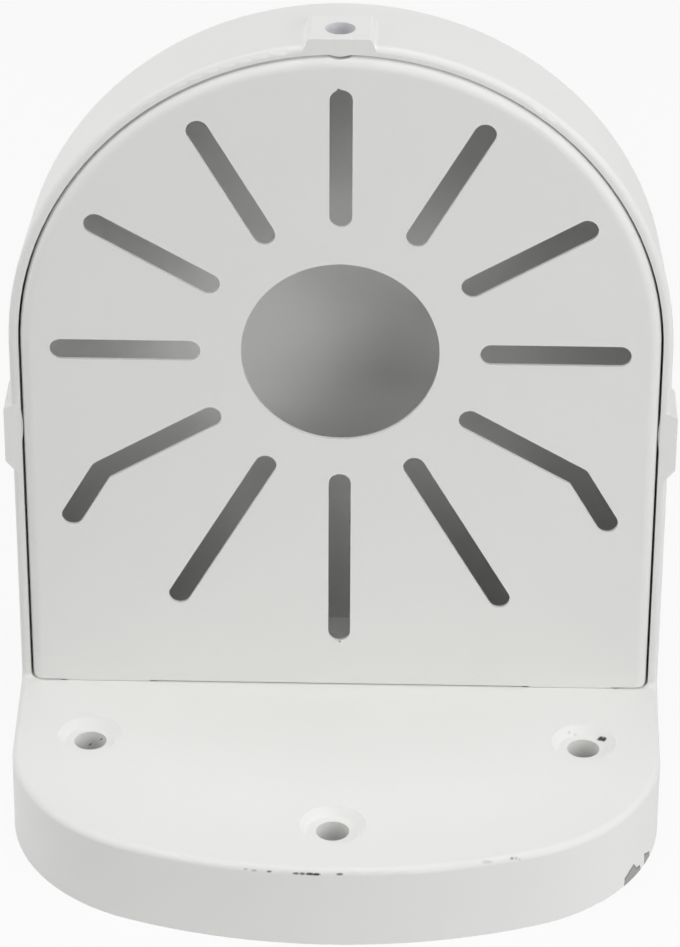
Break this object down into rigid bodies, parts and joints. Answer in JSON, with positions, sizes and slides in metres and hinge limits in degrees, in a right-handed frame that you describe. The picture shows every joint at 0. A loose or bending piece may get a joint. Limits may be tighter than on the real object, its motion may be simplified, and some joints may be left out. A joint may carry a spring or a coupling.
{
  "type": "camera wall bracket",
  "caption": "L-shaped wall bracket for a dome camera: a shallow wall flange under an arched shell, closed by a slotted sheet plate with a round cable hole.",
  "frame": {"origin": "middle of the bracket's box, in the plane of the wall flange's rim, which meets the wall", "axes": "+Z away from the wall, towards the crown of the arch; -Y the way the slotted plate faces; +X to the right of someone who looks at the slotted plate"},
  "size_m": [0.137, 0.0946, 0.1638],
  "materials": {
    "coated_casting": "off-white satin powder coat over die-cast aluminium",
    "coated_sheet": "off-white satin powder coat over steel sheet",
    "plated_steel": "zinc-plated steel"
  },
  "bodies": {
    "root": {"housing": "coated_casting", "camera_plate": "coated_sheet", "plate_screw_left": "plated_steel", "plate_screw_right": "plated_steel"}
  },
  "joints": []
}
